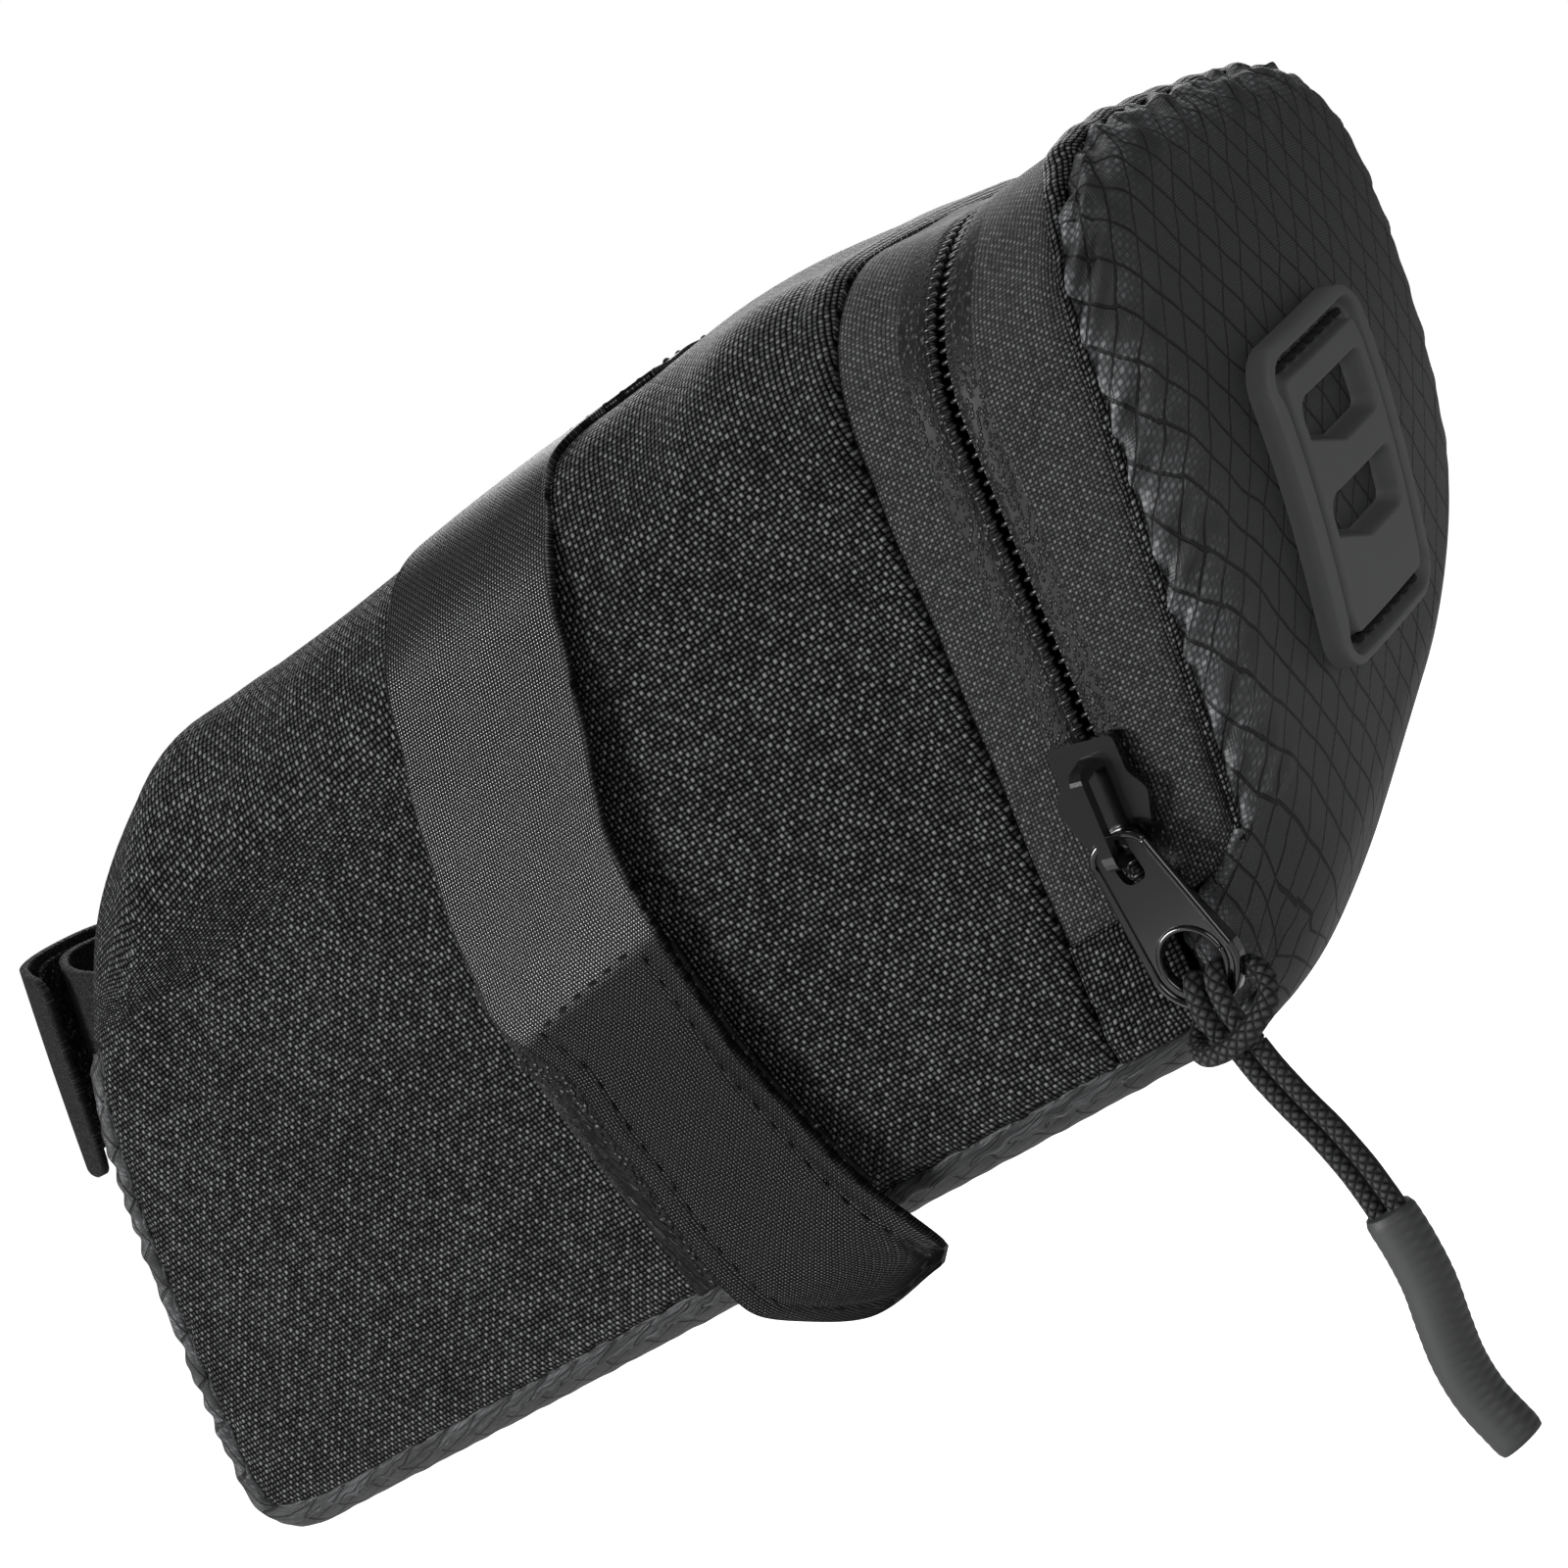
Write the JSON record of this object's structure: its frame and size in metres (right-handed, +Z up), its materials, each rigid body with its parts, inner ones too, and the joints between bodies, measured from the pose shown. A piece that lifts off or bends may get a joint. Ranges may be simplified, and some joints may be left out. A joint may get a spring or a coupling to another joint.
{
  "type": "saddle bag",
  "caption": "Small bicycle saddle bag with a zipped folding rear lid, light-clip patch, two saddle straps, a seatpost strap and a corded zip pull.",
  "frame": {"origin": "middle of the flat top of the strap anchor, where the bag is held against the saddle rails", "axes": "+Z up to the saddle, +X rearwards to the lid, -X forwards to the seatpost, -Y to the side on which the zip ends closed"},
  "size_m": [0.1927, 0.0759, 0.1302],
  "materials": {
    "woven_fabric": "coarse plain weave",
    "ripstop_fabric": "diamond ripstop with a light sheen",
    "zip_tape": "fine ribbed tape",
    "zip_coil": "nylon coil",
    "lining": "thin plain weave",
    "foam": "closed-cell foam",
    "board": "flexible board",
    "webbing": "satin fine-weave webbing",
    "hook_pile": "hook and loop pile",
    "rubber": "matte moulded",
    "black_metal": "gloss black",
    "cord": "round braid",
    "sleeve": "soft ribbed sleeve"
  },
  "bodies": {
    "body": {"body_shell": "woven_fabric", "base_panel": "ripstop_fabric", "body_lining": "lining", "side_foam_left": "foam", "side_foam_right": "foam", "top_foam": "foam", "base_board": "board", "front_foam": "foam", "seam_roll_left": "ripstop_fabric", "seam_roll_right": "ripstop_fabric", "zip_tape_body": "zip_tape", "zip_coil_body": "zip_coil", "zip_end_tab_left": "woven_fabric", "zip_end_tab_right": "woven_fabric", "zip_end_stop_left": "black_metal", "zip_end_stop_right": "black_metal", "saddle_strap_anchor": "webbing", "side_loop_patch_left": "hook_pile", "side_loop_patch_right": "hook_pile", "seatpost_strap_base": "ripstop_fabric"},
    "lid": {"zip_tape_lid": "zip_tape", "zip_coil_lid": "zip_coil", "rear_panel": "ripstop_fabric", "lid_foam": "foam", "lid_lining": "lining", "light_clip_patch": "rubber"},
    "slider": {"slider": "black_metal"},
    "pull_tab": {"pull_tab": "black_metal"},
    "pull_cord": {"cord_knot": "cord", "cord_strand_front": "cord", "cord_strand_rear": "cord", "cord_grip": "sleeve"},
    "saddle_strap_left": {"saddle_strap_left": "webbing", "saddle_hook_patch_left": "hook_pile"},
    "saddle_strap_right": {"saddle_strap_right": "webbing", "saddle_hook_patch_right": "hook_pile"},
    "seatpost_strap_left": {"seatpost_strap_left": "webbing", "seatpost_loop_patch": "hook_pile"},
    "seatpost_strap_right": {"seatpost_strap_right": "webbing", "seatpost_hook_patch": "hook_pile"}
  },
  "joints": [
    {"name": "lid_fold", "type": "hinge", "parent": "body", "child": "lid", "pos_m": [0.03021, 0, -0.0856], "axis": [0, 1, 0], "range_deg": [0, 70]},
    {"name": "slider_travel", "type": "slide", "parent": "body", "child": "slider", "axis": [0.238, 0, 0.9713], "range_m": [0, 0.034]},
    {"name": "pull_tab_flip", "type": "hinge", "parent": "slider", "child": "pull_tab", "pos_m": [0.03614, -0.03545, -0.0613], "axis": [-1, 0, 0], "range_deg": [0, 100]},
    {"name": "pull_cord_swing", "type": "hinge", "parent": "pull_tab", "child": "pull_cord", "pos_m": [0.03614, -0.03645, -0.0749], "axis": [0, 1, 0], "range_deg": [-35, 35]},
    {"name": "saddle_strap_left_peel", "type": "hinge", "parent": "body", "child": "saddle_strap_left", "pos_m": [-0.004, -0.0173, 0], "axis": [-1, 0, 0], "range_deg": [0, 110]},
    {"name": "saddle_strap_right_peel", "type": "hinge", "parent": "body", "child": "saddle_strap_right", "pos_m": [-0.004, 0.0173, 0], "axis": [1, 0, 0], "range_deg": [0, 110]},
    {"name": "seatpost_strap_right_open", "type": "hinge", "parent": "body", "child": "seatpost_strap_right", "pos_m": [-0.09957, 0.0125, -0.03211], "axis": [-0.395, 0, -0.9187], "range_deg": [0, 60]},
    {"name": "seatpost_strap_left_open", "type": "hinge", "parent": "body", "child": "seatpost_strap_left", "pos_m": [-0.09957, -0.0125, -0.03211], "axis": [0.395, 0, 0.9187], "range_deg": [0, 60]}
  ],
  "couplings": [
    {"joint": "seatpost_strap_left_open", "follows": "seatpost_strap_right_open", "ratio": 1}
  ]
}
